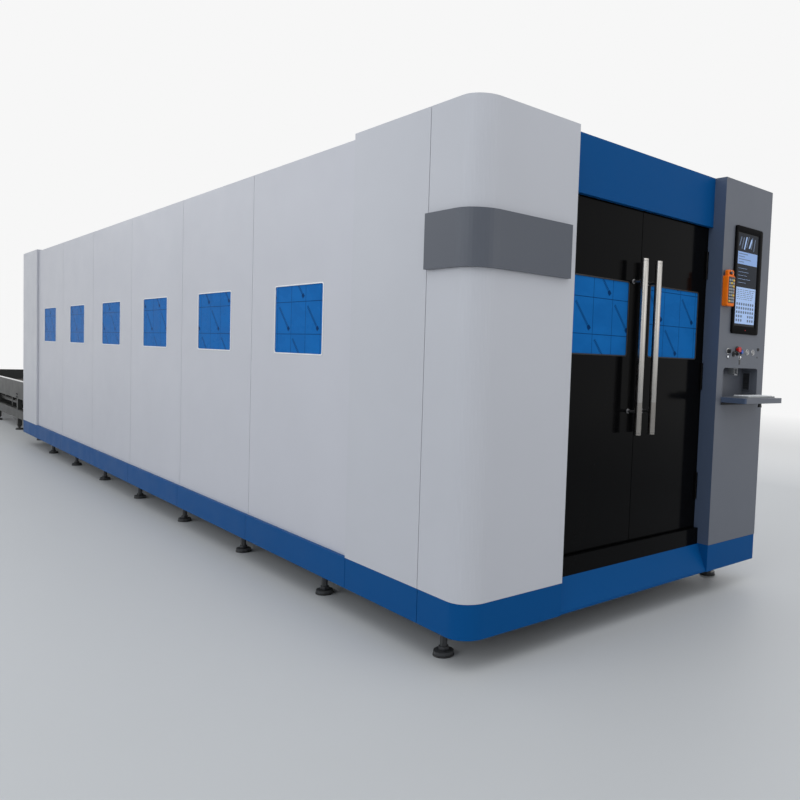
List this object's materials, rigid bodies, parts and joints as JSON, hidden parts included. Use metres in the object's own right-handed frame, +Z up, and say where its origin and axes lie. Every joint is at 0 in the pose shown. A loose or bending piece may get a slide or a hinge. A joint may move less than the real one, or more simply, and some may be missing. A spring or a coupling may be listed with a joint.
{
  "type": "fiber laser cutting machine",
  "caption": "Enclosed fiber laser cutting machine with twin front doors, corner console and a two-level pallet changer",
  "frame": {"origin": "on the floor under the middle of the whole machine's box", "axes": "+X to the machine's right seen from its front doors, +Y towards the pallet changer, +Z up"},
  "size_m": [2.27, 15.5392, 2.34],
  "materials": {
    "white_paint": "fine powder coat, satin",
    "blue_paint": "powder coat, semi-gloss",
    "grey_paint": "powder coat, satin",
    "band_grey": "powder coat, satin",
    "black_gloss": "smooth gloss paint",
    "dark_steel": "dark frame paint",
    "blue_film": "blue protective film on a clear pane",
    "satin_steel": "brushed",
    "raw_steel": "mill finish, cut edges",
    "aluminium": "machined",
    "black_plastic": "fine grain",
    "screen_glass": "glossy display",
    "orange_plastic": "moulded",
    "red_plastic": "moulded",
    "blue_plastic": "moulded"
  },
  "bodies": {
    "enclosure": {"apron": "blue_paint", "bed_frame": "dark_steel", "console_base": "blue_paint", "console_body": "grey_paint", "corner_band": "band_grey", "corner_block": "white_paint", "door_frame": "black_gloss", "enclosure_frame": "dark_steel", "exchange_frame": "dark_steel", "front_section_left": "white_paint", "header": "blue_paint", "kick_plate": "black_gloss", "monitor_bezel": "black_plastic", "monitor_screen": "screen_glass", "pendant": "orange_plastic", "rail_left": "satin_steel", "rail_right": "satin_steel", "rear_corner_left": "white_paint", "rear_wall": "white_paint", "roof_panel_1": "dark_steel", "roof_panel_2": "dark_steel", "side_panel_left_1": "white_paint", "side_panel_left_2": "white_paint", "side_panel_left_3": "white_paint", "side_panel_left_4": "white_paint", "side_panel_left_5": "white_paint", "side_panel_left_6": "white_paint", "side_panel_right_1": "white_paint", "side_panel_right_2": "white_paint", "side_window_1": "blue_film", "side_window_2": "blue_film", "side_window_3": "blue_film", "side_window_4": "blue_film", "side_window_5": "blue_film", "side_window_6": "blue_film", "skirt_corner": "blue_paint", "skirt_left": "blue_paint", "skirt_right": "blue_paint", "table_drive_motor": "dark_steel"},
    "door_left": {"door_left": "black_gloss", "door_window_left": "blue_film", "door_handle_left": "satin_steel"},
    "door_right": {"door_right": "black_gloss", "door_window_right": "blue_film", "door_handle_right": "satin_steel"},
    "gantry": {"gantry": "aluminium"},
    "carriage": {"carriage": "dark_steel"},
    "cutting_head": {"cutting_head": "aluminium"},
    "rear_gate": {"rear_gate": "grey_paint"},
    "pallet_upper": {"pallet_upper": "raw_steel"},
    "lift": {"lift_frame": "blue_paint"},
    "pallet_lower": {"pallet_lower": "raw_steel"},
    "keyboard_flap": {"keyboard_flap": "grey_paint", "flap_knob": "black_plastic"},
    "e_stop": {"e_stop": "red_plastic"},
    "key_switch": {"key_switch": "satin_steel"},
    "selector_switch": {"selector_switch": "black_plastic"},
    "blue_button": {"blue_button": "blue_plastic"},
    "steel_button_left": {"steel_button_left": "satin_steel"},
    "steel_button_right": {"steel_button_right": "satin_steel"}
  },
  "joints": [
    {"name": "door_left_hinge", "type": "hinge", "parent": "enclosure", "child": "door_left", "pos_m": [-0.535, -7.51545, 0.384], "axis": [0, 0, -1], "range_deg": [0, 90]},
    {"name": "door_right_hinge", "type": "hinge", "parent": "enclosure", "child": "door_right", "pos_m": [0.626, -7.51545, 0.384], "axis": [0, 0, 1], "range_deg": [0, 90]},
    {"name": "gantry_travel", "type": "slide", "parent": "enclosure", "child": "gantry", "axis": [0, 1, 0], "range_m": [0, 6.5]},
    {"name": "carriage_travel", "type": "slide", "parent": "gantry", "child": "carriage", "axis": [1, 0, 0], "range_m": [0, 1.31]},
    {"name": "head_travel", "type": "slide", "parent": "carriage", "child": "cutting_head", "axis": [0, 0, -1], "range_m": [0, 0.1]},
    {"name": "gate_travel", "type": "slide", "parent": "enclosure", "child": "rear_gate", "axis": [0, 0, -1], "range_m": [0, 0.5]},
    {"name": "upper_pallet_travel", "type": "slide", "parent": "enclosure", "child": "pallet_upper", "axis": [0, 1, 0], "range_m": [0, 7.45]},
    {"name": "lift_travel", "type": "slide", "parent": "enclosure", "child": "lift", "axis": [0, 0, 1], "range_m": [0, 0.22]},
    {"name": "lower_pallet_travel", "type": "slide", "parent": "lift", "child": "pallet_lower", "axis": [0, -1, 0], "range_m": [0, 7.45]},
    {"name": "flap_hinge", "type": "hinge", "parent": "enclosure", "child": "keyboard_flap", "pos_m": [0.885, -7.60965, 1.13], "axis": [-1, 0, 0], "range_deg": [0, 90]},
    {"name": "e_stop_press", "type": "slide", "parent": "enclosure", "child": "e_stop", "axis": [0, 1, 0], "range_m": [0, 0.005], "stiffness_N_per_m": 600, "springref_m": -0.004},
    {"name": "key_turn", "type": "hinge", "parent": "enclosure", "child": "key_switch", "pos_m": [0.795, -7.60885, 1.374], "axis": [0, 1, 0], "range_deg": [0, 90]},
    {"name": "selector_turn", "type": "hinge", "parent": "enclosure", "child": "selector_switch", "pos_m": [0.734, -7.60885, 1.388], "axis": [0, 1, 0], "range_deg": [-45, 45]},
    {"name": "blue_button_press", "type": "slide", "parent": "enclosure", "child": "blue_button", "axis": [0, 1, 0], "range_m": [0, 0.003], "stiffness_N_per_m": 600, "springref_m": -0.003},
    {"name": "steel_left_press", "type": "slide", "parent": "enclosure", "child": "steel_button_left", "axis": [0, 1, 0], "range_m": [0, 0.002], "stiffness_N_per_m": 600, "springref_m": -0.003},
    {"name": "steel_right_press", "type": "slide", "parent": "enclosure", "child": "steel_button_right", "axis": [0, 1, 0], "range_m": [0, 0.002], "stiffness_N_per_m": 600, "springref_m": -0.003}
  ]
}
